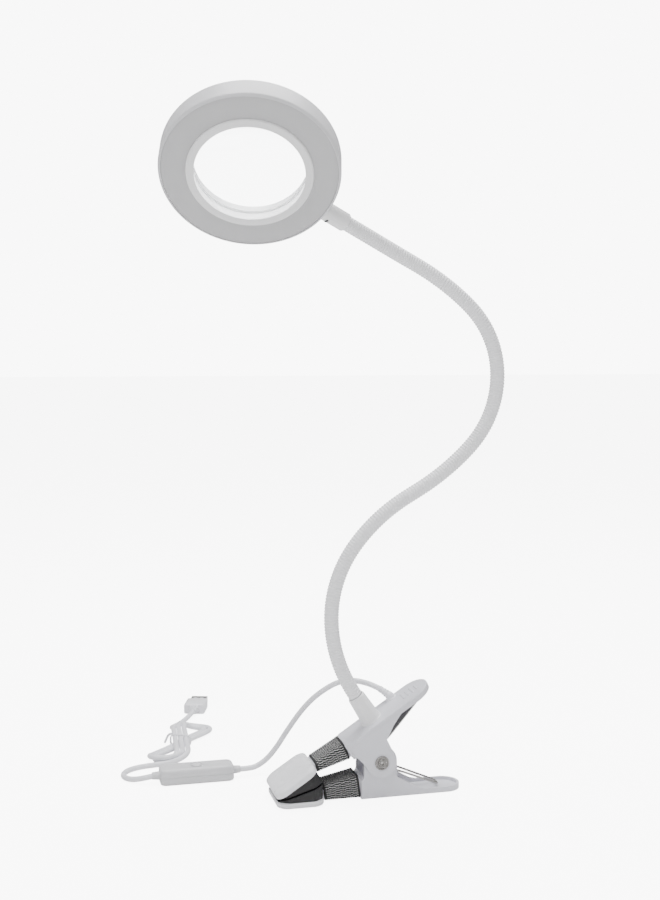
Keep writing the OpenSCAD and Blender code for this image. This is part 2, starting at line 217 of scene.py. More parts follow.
def sweep(line, radius, sides=16):
    """Points, faces and UVs of a capped tube along a line.

    radius is a number, or a function of the length so far.
    """
    s = lengths(line)
    size = radius if callable(radius) else (lambda _: radius)
    verts, faces, uvs = [], [], []
    along = (line[1] - line[0]).normalized()
    side = along.orthogonal().normalized()
    for i, p in enumerate(line):
        new = (line[min(i + 1, len(line) - 1)] - line[max(i - 1, 0)]).normalized()
        side = (along.rotation_difference(new) @ side).normalized()
        along = new
        up = along.cross(side)
        for k in range(sides):
            a = 2 * PI * k / sides
            verts.append(p + size(s[i]) * (math.cos(a) * side + math.sin(a) * up))
            uvs.append((s[i] * 0.1, k / sides))
    for i in range(len(line) - 1):
        for k in range(sides):
            a, b = i * sides + k, i * sides + (k + 1) % sides
            faces.append((a, b, b + sides, a + sides))
    faces.append(tuple(range(sides)))
    last = (len(line) - 1) * sides
    faces.append(tuple(range(last, last + sides)))
    return verts, faces, uvs


def tube(name, line, radius, material, sides=16):
    verts, faces, uvs = sweep(line, radius, sides)
    return crease(make(name, verts, faces, material, uvs), 60)


def joined(parts):
    """One mesh's lists from several sweeps."""
    verts, faces, uvs = [], [], []
    for v, f, u in parts:
        base = len(verts)
        verts += v
        uvs += u
        faces += [tuple(i + base for i in face) for face in f]
    return verts, faces, uvs


def loft(name, rows, place, material, cap_start=True, cap_end=True):
    """Rows of the same number of points, each a closed loop, joined one to the next."""
    n = len(rows[0])
    verts = [place @ Vector(p) for row in rows for p in row]
    faces = []
    for i in range(len(rows) - 1):
        for k in range(n):
            m = (k + 1) % n
            faces.append((i * n + k, i * n + m, (i + 1) * n + m, (i + 1) * n + k))
    if cap_start:
        faces.append(tuple(range(n)))
    if cap_end:
        faces.append(tuple(range((len(rows) - 1) * n, len(rows) * n)))
    return crease(make(name, verts, faces, material), 40)


def soften(name, node, material, body, slot, width, segments):
    """A bevelled, smooth-shaded copy of a CAD node, which stands for it."""
    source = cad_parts[node]
    mesh = source.data.copy()
    mesh.transform(source.matrix_world)
    bm = bmesh.new()
    bm.from_mesh(mesh)
    bmesh.ops.remove_doubles(bm, verts=bm.verts, dist=1e-6)
    bmesh.ops.dissolve_limit(bm, angle_limit=math.radians(1), verts=bm.verts, edges=bm.edges)
    bmesh.ops.recalc_face_normals(bm, faces=bm.faces)
    bm.to_mesh(mesh)
    bm.free()
    mesh.polygons.foreach_set("use_smooth", [True] * len(mesh.polygons))
    for edge in mesh.edges:
        edge.use_edge_sharp = False
    mesh.materials.clear()
    mesh.materials.append(material)
    obj = bpy.data.objects.new(name, mesh)
    bpy.context.scene.collection.objects.link(obj)
    bevel = obj.modifiers.new("bevel", "BEVEL")
    bevel.width = width * MM
    bevel.segments = segments
    bevel.limit_method = "ANGLE"
    bevel.angle_limit = math.radians(BEVEL_ANGLE)
    bevel.harden_normals = False
    normals = obj.modifiers.new("normals", "WEIGHTED_NORMAL")
    normals.keep_sharp = True
    return piece(obj, body, slot, node)


def rect_loop(half_x, half_y, r, count=96):
    """A round-cornered rectangle's points at even angles about its centre."""
    out = []
    for k in range(count):
        a = 2 * PI * k / count
        dx, dy = math.cos(a), math.sin(a)
        low, high = 0.0, half_x + half_y
        for _ in range(40):
            mid = (low + high) / 2
            qx, qy = abs(dx * mid) - half_x + r, abs(dy * mid) - half_y + r
            outside = math.hypot(max(qx, 0), max(qy, 0)) + min(max(qx, qy), 0) - r
            if outside > 0:
                high = mid
            else:
                low = mid
        out.append((dx * low, dy * low))
    return out


# ---------- materials ----------

def node_material(name):
    material = bpy.data.materials.new(name)
    material.use_nodes = True
    tree = material.node_tree
    return material, tree, tree.nodes["Principled BSDF"]


def link(tree, a, b):
    tree.links.new(a, b)


def noise(tree, scale, detail=3.0, stretch=(1, 1, 1)):
    coord = tree.nodes.new("ShaderNodeTexCoord")
    mapping = tree.nodes.new("ShaderNodeMapping")
    mapping.inputs["Scale"].default_value = stretch
    texture = tree.nodes.new("ShaderNodeTexNoise")
    texture.inputs["Scale"].default_value = scale
    texture.inputs["Detail"].default_value = detail
    link(tree, coord.outputs["Object"], mapping.inputs["Vector"])
    link(tree, mapping.outputs["Vector"], texture.inputs["Vector"])
    return texture.outputs["Fac"]


def spread(tree, value, low, high):
    node = tree.nodes.new("ShaderNodeMapRange")
    node.inputs["From Min"].default_value = 0.3
    node.inputs["From Max"].default_value = 0.7
    node.inputs["To Min"].default_value = low
    node.inputs["To Max"].default_value = high
    link(tree, value, node.inputs["Value"])
    return node.outputs["Result"]


def two_colours(tree, value, first, second):
    node = tree.nodes.new("ShaderNodeMix")
    node.data_type = "RGBA"
    node.inputs[6].default_value = (*first, 1)
    node.inputs[7].default_value = (*second, 1)
    link(tree, value, node.inputs[0])
    return node.outputs[2]


def bump(tree, shader, value, strength, distance):
    node = tree.nodes.new("ShaderNodeBump")
    node.inputs["Strength"].default_value = strength
    node.inputs["Distance"].default_value = distance
    link(tree, value, node.inputs["Height"])
    link(tree, node.outputs["Normal"], shader.inputs["Normal"])


def finish_of(name, colour, rough, grain=1500, relief=0.12, vary=0.03, metallic=0.0, mottle=60,
              stretch=(1, 1, 1)):
    """A moulded or metal finish: fine grain in the relief, a faint mottle in colour and gloss."""
    material, tree, shader = node_material(name)
    fine = noise(tree, grain, 2.0, stretch)
    broad = noise(tree, mottle, 3.0)
    dark = tuple(c * (1 - vary) for c in colour)
    light = tuple(min(1, c * (1 + vary)) for c in colour)
    link(tree, two_colours(tree, broad, dark, light), shader.inputs["Base Color"])
    link(tree, spread(tree, broad, rough - 0.05, rough + 0.05), shader.inputs["Roughness"])
    shader.inputs["Metallic"].default_value = metallic
    bump(tree, shader, fine, relief, 0.0001)
    return material


white_neck = finish_of("white_sleeve", (0.88, 0.88, 0.90), 0.42, 1800, 0.06)
head_shell = finish_of("head_shell", (0.66, 0.66, 0.68), 0.40, 2200, 0.14)
face_mat = finish_of("frosted_diffuser", (0.52, 0.52, 0.53), 0.62, 1400, 0.10)
bezel_mat = finish_of("bezel_plastic", (0.90, 0.90, 0.91), 0.34, 2200, 0.08)
clip_mat = finish_of("clip_plastic", (0.70, 0.70, 0.75), 0.33, 1500, 0.10)
pad_mat = finish_of("pad_plastic", (0.88, 0.88, 0.91), 0.28, 1500, 0.05)
rubber_mat = finish_of("black_rubber", (0.009, 0.009, 0.010), 0.55, 1100, 0.35, 0.25)
cord_mat = finish_of("cord_pvc", (0.84, 0.84, 0.88), 0.36, 900, 0.08)
switch_mat = finish_of("switch_plastic", (0.66, 0.66, 0.68), 0.45, 2400, 0.16)
button_mat = finish_of("button_plastic", (0.72, 0.72, 0.74), 0.32, 1800, 0.06)
steel_mat = finish_of("bright_steel", (0.42, 0.41, 0.40), 0.24, 700, 0.10, 0.06, 1.0)
rivet_mat = finish_of("nickel_steel", (0.30, 0.29, 0.28), 0.28, 900, 0.25, 0.10, 1.0, 400)
shell_mat = finish_of("plug_shell_steel", (0.80, 0.80, 0.80), 0.26, 500, 0.10, 0.04, 1.0, 90,
                      (1, 8, 1))
# Dark grey: painted shade, for the plates that stand in for the shadowed inside of the handle's
# channel.
shade_plate_mat = finish_of("painted_channel_shade", (0.05, 0.05, 0.055), 0.5, 1500, 0.1, 0.1)
# Near-black: painted shade for the collar's slot and the rivet bores, and the own colour of the hidden
# switch contacts.
shade_and_contacts_mat = finish_of("painted_recess_shade_and_contacts", (0.03, 0.03, 0.03), 0.6, 900, 0.2, 0.2)
board_mat = finish_of("board_lacquer", (0.05, 0.22, 0.09), 0.35, 300, 0.2, 0.2)
led_mat = finish_of("led_phosphor", (0.85, 0.74, 0.30), 0.4, 800, 0.1, 0.05)
gold_mat = finish_of("gold_plate", (0.80, 0.58, 0.22), 0.25, 900, 0.1, 0.05, 1.0)


def lens_material():
    material, tree, shader = node_material("lens_acrylic")
    broad = noise(tree, 30, 2.0)
    link(tree, two_colours(tree, broad, (0.975, 0.985, 0.985), (0.99, 0.995, 1.0)),
         shader.inputs["Base Color"])
    link(tree, spread(tree, broad, 0.015, 0.03), shader.inputs["Roughness"])
    shader.inputs["Transmission Weight"].default_value = 1.0
    shader.inputs["IOR"].default_value = 1.45
    return material


def twist_material(name, light, dark, width):
    """A two-colour twisted cord: a stripe that winds round the cord as it goes along."""
    material, tree, shader = node_material(name)
    uv = tree.nodes.new("ShaderNodeUVMap")
    uv.uv_map = "UVMap"
    split = tree.nodes.new("ShaderNodeSeparateXYZ")
    link(tree, uv.outputs["UV"], split.inputs["Vector"])
    along = tree.nodes.new("ShaderNodeMath")
    along.operation = "MULTIPLY"
    along.inputs[1].default_value = 10 / 1.35
    link(tree, split.outputs["X"], along.inputs[0])
    both = tree.nodes.new("ShaderNodeMath")
    both.operation = "ADD"
    link(tree, along.outputs[0], both.inputs[0])
    link(tree, split.outputs["Y"], both.inputs[1])
    part = tree.nodes.new("ShaderNodeMath")
    part.operation = "FRACT"
    link(tree, both.outputs[0], part.inputs[0])
    ramp = tree.nodes.new("ShaderNodeValToRGB")
    ramp.color_ramp.elements[0].position = 0.5 - width / 2 - 0.06
    ramp.color_ramp.elements[0].color = (*dark, 1)
    ramp.color_ramp.elements[1].position = 0.5 - width / 2
    ramp.color_ramp.elements[1].color = (*light, 1)
    for position, colour in ((0.5 + width / 2, light), (0.5 + width / 2 + 0.06, dark)):
        element = ramp.color_ramp.elements.new(position)
        element.color = (*colour, 1)
    link(tree, part.outputs[0], ramp.inputs["Fac"])
    link(tree, ramp.outputs["Color"], shader.inputs["Base Color"])
    link(tree, spread(tree, noise(tree, 900, 2.0), 0.6, 0.8), shader.inputs["Roughness"])
    bump(tree, shader, ramp.outputs["Color"], 0.4, 0.0002)
    return material


lens_mat = lens_material()
wrap_mat = twist_material("wrap_twist", (0.60, 0.60, 0.60), (0.010, 0.010, 0.011), 0.2)
band_mat = finish_of("wrap_black", (0.014, 0.014, 0.015), 0.7, 900, 0.4, 0.3)


# ---------- the model's frames ----------

jaw = shift(0, 0, PIVOT_Z) @ turn(-33, "Y")
neck_bends = [32, 38, 25, -18, -44, -47, -17, 0]
section = 47


def past(bend):
    """The frame at the far end of one neck section with this bend."""
    if bend == 0:
        return shift(0, 0, section)
    r = section / math.radians(bend)
    a = math.radians(bend)
    return shift(r * (1 - math.cos(a)), 0, r * math.sin(a)) @ turn(bend, "Y")


def neck_line():
    """The neck's centreline, a point each millimetre, and the frame at each joint and at the end."""
    here = jaw @ shift(10, 0, 42.5)
    line = [here @ Vector((0, 0, z)) for z in (-3, -2, -1)]
    joints = [here.copy()]
    for i, bend in enumerate(neck_bends):
        if i == len(neck_bends) - 1:
            here = here @ turn(12, "X")
        for mm in range(section):
            f = mm / section
            if bend == 0:
                line.append(here @ Vector((0, 0, mm)))
            else:
                r = section / math.radians(bend)
                a = math.radians(bend) * f
                line.append(here @ Vector((r * (1 - math.cos(a)), 0, r * math.sin(a))))
        here = here @ past(bend)
        joints.append(here.copy())
    line += [here @ Vector((0, 0, z)) for z in (0, 1)]
    return line, joints, here


centre, joints, neck_end = neck_line()
centre = relax(centre, 60, 5)
head = (neck_end @ turn(225, "Z") @ turn(90, "Y") @ shift(-66, 0, -7.5) @ turn(180,
        "X") @ shift(0, 0, -15))
hank = shift(-104, 118, 0) @ turn(65, "Z")


# ---------- camera, light and floor ----------

def aim(obj, target):
    obj.rotation_euler = (Vector(target) - obj.location).to_track_quat("-Z", "Y").to_euler()


def camera():
    """The photograph's viewpoint, in metres."""
    data = bpy.data.cameras.new("camera")
    data.lens = 50.55
    data.sensor_width = 36
    data.clip_start = 0.01
    data.clip_end = 30
    obj = bpy.data.objects.new("camera", data)
    obj.location = (-0.2088, -0.7209, 0.2660)
    aim(obj, (-0.0273, 0.0068, 0.2086))
    bpy.context.scene.collection.objects.link(obj)
    bpy.context.scene.camera = obj


def area_light(name, place, target, size, power):
    data = bpy.data.lights.new(name, "AREA")
    data.shape = "RECTANGLE"
    data.size, data.size_y = size
    data.energy = power
    obj = bpy.data.objects.new(name, data)
    obj.location = place
    aim(obj, target)
    bpy.context.scene.collection.objects.link(obj)


def seen_directly(tree, strength, others):
    """One light strength for what the camera and the lens see, another for the rest."""
    path = tree.nodes.new("ShaderNodeLightPath")
    either = tree.nodes.new("ShaderNodeMath")
    either.operation = "MAXIMUM"
    link(tree, path.outputs["Is Camera Ray"], either.inputs[0])
    link(tree, path.outputs["Is Transmission Ray"], either.inputs[1])
    node = tree.nodes.new("ShaderNodeMapRange")
    node.inputs["To Min"].default_value = others
    node.inputs["To Max"].default_value = strength
    link(tree, either.outputs[0], node.inputs["Value"])
    return node.outputs["Result"]


def studio():
    """Soft area lights over a pale floor."""
    world = bpy.data.worlds.new("studio")
    world.use_nodes = True
    background = world.node_tree.nodes["Background"]
    background.inputs["Color"].default_value = (1, 1, 1, 1)
    link(world.node_tree, seen_directly(world.node_tree, 9.0, 0.42), background.inputs["Strength"])
    bpy.context.scene.world = world
    area_light("key", (-0.7, -0.8, 1.2), (-0.03, 0, 0.2), (0.7, 0.7), 12)
    area_light("fill", (1.2, -0.7, 0.5), (-0.03, 0, 0.15), (0.9, 0.9), 2.5)
    area_light("top", (0.1, 0.25, 1.4), (-0.03, 0, 0.1), (1.0, 1.0), 30)
    floor_mat = finish_of("floor_paper", (0.90, 0.90, 0.90), 0.8, 300, 0.05, 0.01)
    shader = floor_mat.node_tree.nodes["Principled BSDF"]
    shader.inputs["Emission Color"].default_value = (1, 1, 1, 1)
    link(floor_mat.node_tree, seen_directly(floor_mat.node_tree, 7.5, 0.0),
         shader.inputs["Emission Strength"])
    verts = [(-9000, -4000, 0), (9000, -4000, 0), (9000, 14000, 0), (-9000, 14000, 0)]
    make("floor", verts, [(0, 1, 2, 3)], floor_mat)


camera()
studio()


# ---------- cords ----------

def lead():
    """The first stretch, from the relief on the handle down to the switch."""
    points = [(5.5, 12.5, 60.5), (-1, 17, 63), (-9, 22, 64), (-17, 27, 62), (-24, 32, 57),
              (-31, 37, 50),
              (-37, 41, 42), (-42, 44, 34), (-47, 46.5, 25.5), (-52, 48.5, 17), (-58, 50, 9.5),
              (-65, 49.5, 5.4),
              (-71, 48.6, 4.8), (-76.5, 48, 5), (-80, 48, 5)]
    line = resample(catmull(points, 8), 2)
    obj = tube("lead_first_stretch", line, CORD_R, cord_mat, 20)
    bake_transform(obj)
    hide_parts("cord_lead")
    return obj, line


def hank_point(t):
    """A point of the cord in the hank's own frame, wound two and a half times."""
    k = smoothstep((t - PI + 0.45) / 0.9) + smoothstep((t - 3 * PI + 0.45) / 0.9)
    x, y = figure(t)
    dx, dy = figure(t + 0.01)
    tangent = Vector((dx - x, dy - y)).normalized()
    normal = Vector((-tangent.y, tangent.x))
    at_centre = smoothstep(abs(math.cos(t)) / 0.75)
    near_lobe = math.sin(t) < 0
    wide = 3.65 * (k - 1)
    if near_lobe:
        narrow = 1.85 * (k - 1)
        spacing = 1.85 + 1.8 * at_centre
        lift = math.sqrt(max(0.0, 3.6 ** 2 - spacing ** 2)) * (1 - abs(k - 1))
    else:
        narrow = -1.85 + 3.7 * k
        lift = 0.0
    offset = narrow + (wide - narrow) * at_centre
    cross = 3.6 * smoothstep(max(0.0, math.cos(t)) / 0.75)
    z = CORD_R + 0.75 * at_centre + cross + lift
    return Vector((x + offset * normal.x, y + offset * normal.y, z))


def figure(t):
    """The figure of eight's centreline."""
    x = 40.2 * math.sin(t)
    y = 13.4 * math.sin(2 * t) * (0.55 + 0.45 * math.sin(t) ** 2)
    return x, y


def long_cord():
    """From the switch's far end through the hank to the plug."""
    first = [(-126, 48, 5), (-129.5, 48, 5), (-134.5, 48.8, 3.9), (-141, 51.5, 2.4),
             (-145.9, 57, 1.75),
             (-147.2, 64, 1.75), (-144, 71, 1.75), (-138.2, 75.4, 1.75), (-131.6, 77.6, 1.75)]
    first = [Vector(p) for p in first]
    count = 150
    start, stop = -PI / 2 + 0.08, 4 * PI + 0.62
    wound = [hank @ hank_point(start + (stop - start) * i / count) for i in range(count + 1)]
    tail = [hank @ Vector(p) for p in ((33, 16.9, 2.6), (42, 16.0, 1.75), (51, 14.3, 1.9),
                                       (60, 13.0, 3.1), (67, 12.6, 3.8), (70, 13.0, 3.8))]
    line = resample(catmull(first + wound + tail, 4), 1.6)
    line = relax(line, 6, 3)
    obj = tube("lead_long_stretch", line, CORD_R, cord_mat, 16)
    piece(obj, "lower_lever", "cord_pvc", "cord_middle", "cord_hank", "cord_tail")
    return obj, line


lead_obj, lead_line = lead()
long_obj, long_line = long_cord()


# ---------- ring head ----------

def head_pieces():
    """The ring head: shell, diffuser, bezel, lens and collar."""
    shell = lathe("head_shell", rounded([
        (49.35, 0, 0.35), (HEAD_R, 1.15, 1.1), (HEAD_R, HEAD_T, 2.6), (33.4, HEAD_T, 0.6),
        (33.4, 0, 0.3), (35, 0, 0.3), (35, 13.4, 0.4),
        (48.9, 13.4, 0.4), (48.9, 0, 0.4)], 6), head, head_shell, 160)
    piece(shell, "ring_head", "head_shell", "head_housing")
    face = lathe("face_diffuser",
                 rounded([(48.85, 0.35, 0.35), (48.85, 1.8, 0), (35.05, 1.8, 0),
                          (35.05, 0.35, 0.35)], 4),
                 head, face_mat, 160)
    piece(face, "ring_head", "diffuser", "light_diffuser")
    bezel = lathe("lens_bezel_ring", rounded([
        (30.6, -1, 0.5), (35.05, -1, 0.9), (35.3, 0.34, 0.1), (33.35, 0.34, 0), (33.35, 6, 0),
        (31.7, 6, 0.3),
        (31.3, 3, 0.5)], 6), head, bezel_mat, 160)
    piece(bezel, "ring_head", "bezel", "lens_bezel")
    back = lathe("rear_ring", rounded([
        (31.5, 9, 0.3), (33.35, 9, 0), (33.35, 15, 0), (35.2, 15, 0.1), (35.0, 15.8, 0.5),
        (30.6, 15.8, 0.5)], 5),
        head, bezel_mat, 160)
    piece(back, "ring_head", "bezel", "rear_lens_ring")

    edge, bulge = 33.3, 3.2
    ball = (edge * edge + bulge * bulge) / (2 * bulge)
    bottom, top = [], []
    for i in range(25):
        r = 31.2 * i / 24
        sag = math.sqrt(ball * ball - r * r) - (ball - bulge)
        bottom.append((r, 6 - sag))
        top.append((r, 9 + sag))
    profile = bottom + [(31.3, 6), (33.2, 6), (33.3, 6.1), (33.3, 8.9), (33.2, 9),
                        (31.3, 9)] + top[::-1]
    lens = lathe("lens", profile, head, lens_mat, 128, closed=False)
    piece(lens, "ring_head", "lens", "magnifier_lens")

    along = head @ shift(0, 0, 7.5) @ turn(90, "Y")
    rows = [(4.9, 49.7), (5.5, 50.3), (5.5, 65.2), (5.3, 65.8), (4.95, 66.0), (4.62, 65.9),
            (4.5, 65.2), (4.5, 61)]
    collar = lathe("stem_collar", rows, along, bezel_mat, 64, closed=False)
    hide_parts("head_collar")
    piece(collar, "ring_head", "head_shell")
    # A near-black patch flush with the collar: painted shade standing in for the inside of a slot.
    slot = rect_loop(0.75, 1.9, 0.7, 32)
    slot_place = head @ shift(54.2, 0, 7.5) @ turn(-150, "X")
    rows = [[(x, y, 5.2) for x, y in slot], [(x, y, 5.52) for x, y in slot]]
    slot_shade_patch = loft("collar_slot_shade", rows, slot_place, shade_and_contacts_mat)
    piece(slot_shade_patch, "ring_head", "head_shell")


def neck_pieces():
    """The ribbed sleeve, cut in the middle of each section so that a piece crosses one joint."""
    steps, sides = 6, 40
    line = resample(centre, RIB_PITCH / steps)
    s = lengths(line)
    cuts = [13, 39, 65, 91, 118, 144, 170, 196]

    def rib(length):
        valley = (0.5 + 0.5 * math.cos(2 * PI * length / RIB_PITCH)) ** 1.5
        return NECK_R - RIB_DEPTH * valley

    for k in range(9):
        low = 0 if k == 0 else cuts[k - 1] * steps
        high = len(line) - 1 if k == 8 else cuts[k] * steps
        verts, faces, uvs = sweep_fixed(line, low, high, lambda i: rib(s[i]), sides)
        obj = make(f"neck_sleeve_{k}", verts, faces, white_neck, uvs)
        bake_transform(obj)
        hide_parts(f"neck_section_{max(k, 1)}")


def sweep_fixed(line, low, high, radius, sides):
    """Rings on part of a line, each with a frame taken from the line alone, so that neighbours meet."""
    verts, faces, uvs = [], [], []
    for i in range(low, high + 1):
        along = (line[min(i + 1, len(line) - 1)] - line[max(i - 1, 0)]).normalized()
        side = along.cross(Vector((0.05, 1, 0.05))).normalized()
        up = along.cross(side)
        for k in range(sides):
            a = 2 * PI * k / sides
            verts.append(line[i] + radius(i) * (math.cos(a) * side + math.sin(a) * up))
            uvs.append((i * 0.03, k / sides))
    for i in range(high - low):
        for k in range(sides):
            a, b = i * sides + k, i * sides + (k + 1) % sides
            faces.append((a, b, b + sides, a + sides))
    faces.append(tuple(range(sides)))
    last = (high - low) * sides
    faces.append(tuple(range(last, last + sides)))
    return verts, faces, uvs


# ---------- clip ----------

def handle_outline(grow):
    """The upper lever's outline from above, from its front round the handle and back."""
    h = 12 + grow
    out = [(-12.4, -h + 1.4), (-10.6, -h), (0, -h), (12, -h), (25, -h)]
    out += [(38.5 + h * math.sin(a), -h * math.cos(a)) for a in (PI * k / 24 for k in range(25))]
    return out + [(25, h), (12, h), (0, h), (-10.6, h), (-12.4, h - 1.4)]


def clip_pieces():
    """Both levers, the lip, the grip bars, two dark plates of painted shade under the handle and the
    foot collar.
    """
    soften("upper_lever_shell", "upper_jaw", clip_mat, "upper_lever", "clip_plastic", 0.45, 3)
    soften("lower_lever_shell", "lower_jaw", clip_mat, "lower_lever", "clip_plastic", 0.4, 3)
    lip = [jaw @ Vector((x, y, 20.4)) for x, y in handle_outline(-0.25)]
    verts, faces = [], []
    section_shape = rounded([(-0.2, -1.1, 0.1), (0.5, -1.1, 0.3), (0.5, 1.05, 0.45),
                             (-0.2, 1.05, 0.1)], 4)
    up = (jaw.to_3x3() @ Vector((0, 0, 1)))
    n = len(section_shape)
    for i, p in enumerate(lip):
        along = (lip[min(i + 1, len(lip) - 1)] - lip[max(i - 1, 0)]).normalized()
        out = along.cross(up).normalized()
        verts += [p + out * a + up * b for a, b in section_shape]
    for i in range(len(lip) - 1):
        for k in range(n):
            m = (k + 1) % n
            faces.append((i * n + k, i * n + m, (i + 1) * n + m, (i + 1) * n + k))
    faces.append(tuple(range(n)))
    faces.append(tuple(range((len(lip) - 1) * n, len(lip) * n)))
    rim = crease(make("upper_lever_lip", verts, faces, clip_mat), 40)
    piece(rim, "upper_lever", "clip_plastic")

    for i, u in enumerate((33.5, 36.7, 39.9, 43.1)):
        bar = rect_loop(0.8, 4.6 if i < 3 else 3.4, 0.79, 32)
        rows = [[(x * f, y - (y * (1 - f) * 0.3), z) for x, y in bar]
                for f, z in ((1.0, 21.3), (1.0, 21.65), (0.8, 21.9), (0.4, 22.0))]
        grip = loft(f"handle_grip_{i}", rows, jaw @ shift(u, 0, 0), clip_mat)
        piece(grip, "upper_lever", "clip_plastic")

    # Two dark plates under the handle beside the spring's legs: painted shade standing in for the
    # shadowed inside of the handle's channel.
    shade_plate_outline = [(13, 7.9), (17.9, 9.4), (28, 12.4), (39.6, 15.9), (39.2, 18.6), (27, 18.8),
           (18.5, 15.4), (14.2, 12.4)]
    rows = [[(u, y, v) for u, v in shade_plate_outline] for y in (-4.6, -2.6)]
    for tag, rows in (("near", rows), ("far", [[(u, -y, v) for u, y, v in row] for row in rows])):
        rib = loft(f"spring_shade_plate_{tag}", rows, jaw, shade_plate_mat)
        piece(rib, "upper_lever", "clip_plastic")

    collar = lathe("neck_foot_collar",
                   [(0.5, 21.3), (6.75, 21.35), (6.8, 21.7), (6.35, 22.1), (6.2, 23.4),
                                        (5.3, 38.4), (5.05, 39.2), (4.6, 39.5), (4.3, 39.3),
                                        (4.3, 37)],
                   jaw @ shift(10, 0, 0), bezel_mat, 96, closed=False)
    piece(collar, "upper_lever", "neck_sleeve", "neck_base_collar")


def pads():
    """The four pads on the jaws: plastic shells and black rubber."""
    def shell(name, place, thick, flip):
        levels = [(3.0, 0.0), (0.35, 0.0), (0.0, 0.3), (0.0, thick - 1.7), (0.35, thick - 0.95),
                  (1.2, thick - 0.45), (2.6, thick - 0.2), (5.5, thick - 0.06), (9.0, thick)]
        rows = [[(x, y, z * flip) for x,
                 y in rect_loop(14.3 - inset, 18 - inset, 6.5 - inset * 0.6)]
                for inset, z in levels]
        return loft(name, rows, place, pad_mat)

    upper = shell("upper_pad", jaw @ shift(-48.4, 0, 21), 4.4, 1)
    piece(upper, "upper_lever", "pad_plastic", "upper_pad_shell")
    lower = shell("lower_pad", shift(-50, 0, 3.8), 3.8, -1)
    piece(lower, "lower_lever", "pad_plastic", "lower_pad_shell")
    soften("upper_rubber", "upper_rubber_pad", rubber_mat, "upper_lever", "rubber_black", 0.7, 3)
    soften("lower_rubber", "lower_rubber_pad", rubber_mat, "lower_lever", "rubber_black", 0.7, 3)


def wrap(name, place, half, low, high, u0, u1, lean, body, node):
    """A twisted cord wound side by side round an arm, with a black band at each end."""
    per_turn = 44

    def ring_at(u, f):
        bottom, top = low(u) - WRAP_R, high(u) + WRAP_R
        mid, tall = (bottom + top) / 2, (top - bottom) / 2
        x, z = loop_point(half + WRAP_R, tall, min(2.6, tall - 0.1), f)
        tilt = lean * (z / max(tall, 0.1))
        return place @ Vector((u + tilt, x, mid + z))

    turns = (u1 - u0) / WRAP_PITCH
    count = int(turns * per_turn)
    line = [ring_at(u0 + WRAP_PITCH * i / per_turn, i / per_turn % 1.0) for i in range(count + 1)]
    verts, faces, uvs = sweep(line, WRAP_R, 8)
    coil = make(f"{name}_coil", verts, faces, wrap_mat, uvs)
    piece(coil, body, "wrap_cord", node)
    for tag, u in (("front", u0 - 0.1), ("rear", u1 + 0.1)):
        step = 0.55 if tag == "front" else -0.55
        parts = []
        for j in range(2):
            ring = [ring_at(u + step * j, i / 48) for i in range(49)]
            parts.append(sweep(ring, WRAP_R * 0.98, 8))
        verts, faces, uvs = joined(parts)
        band = make(f"{name}_{tag}_band", verts, faces, band_mat, uvs)
        piece(band, body, "wrap_cord")


def loop_point(a, b, r, f):
    """A point a share f of the way round a round-cornered rectangle of half sizes a and b."""
    straight_a, straight_b, arc = 2 * (a - r), 2 * (b - r), PI * r / 2
    total = 2 * (straight_a + straight_b) + 4 * arc
    d = f * total
    for cx, cy, length, dx, dy in (
            (-a + r, -b, straight_a, 1, 0), (a, -b + r, straight_b, 0, 1),
            (a - r, b, straight_a, -1, 0), (-a, b - r, straight_b, 0, -1)):
        if d <= length:
            return cx + dx * d, cy + dy * d
        d -= length
        if d <= arc:
            ex, ey = cx + dx * length, cy + dy * length
            turn_a = d / r
            nx, ny = -dy, dx
            return (ex + dx * r * math.sin(turn_a) + nx * r * (1 - math.cos(turn_a)),
                    ey + dy * r * math.sin(turn_a) + ny * r * (1 - math.cos(turn_a)))
        d -= arc
    return -a + r, -b


def wraps():
    """The wound cord on both arms."""
    wrap("upper_wrap", jaw, 8, lambda u: 18.9 + (u + 34) / 21.6 * -5.9,
         lambda u: 22.9 - (u + 34) / 21.6 * 0.8,
         -33.0, -13.7, 0.8, "upper_lever", "upper_wrap")
    wrap("lower_wrap", shift(0, 0, 0), 8, lambda u: 1.45,
         lambda u: 8.6 + (min(u, -13.5) + 35.4) / 21.9 * 4.6,
         -34.2, -13.6, -0.8, "lower_lever", "lower_wrap")


# ---------- rivet and spring ----------

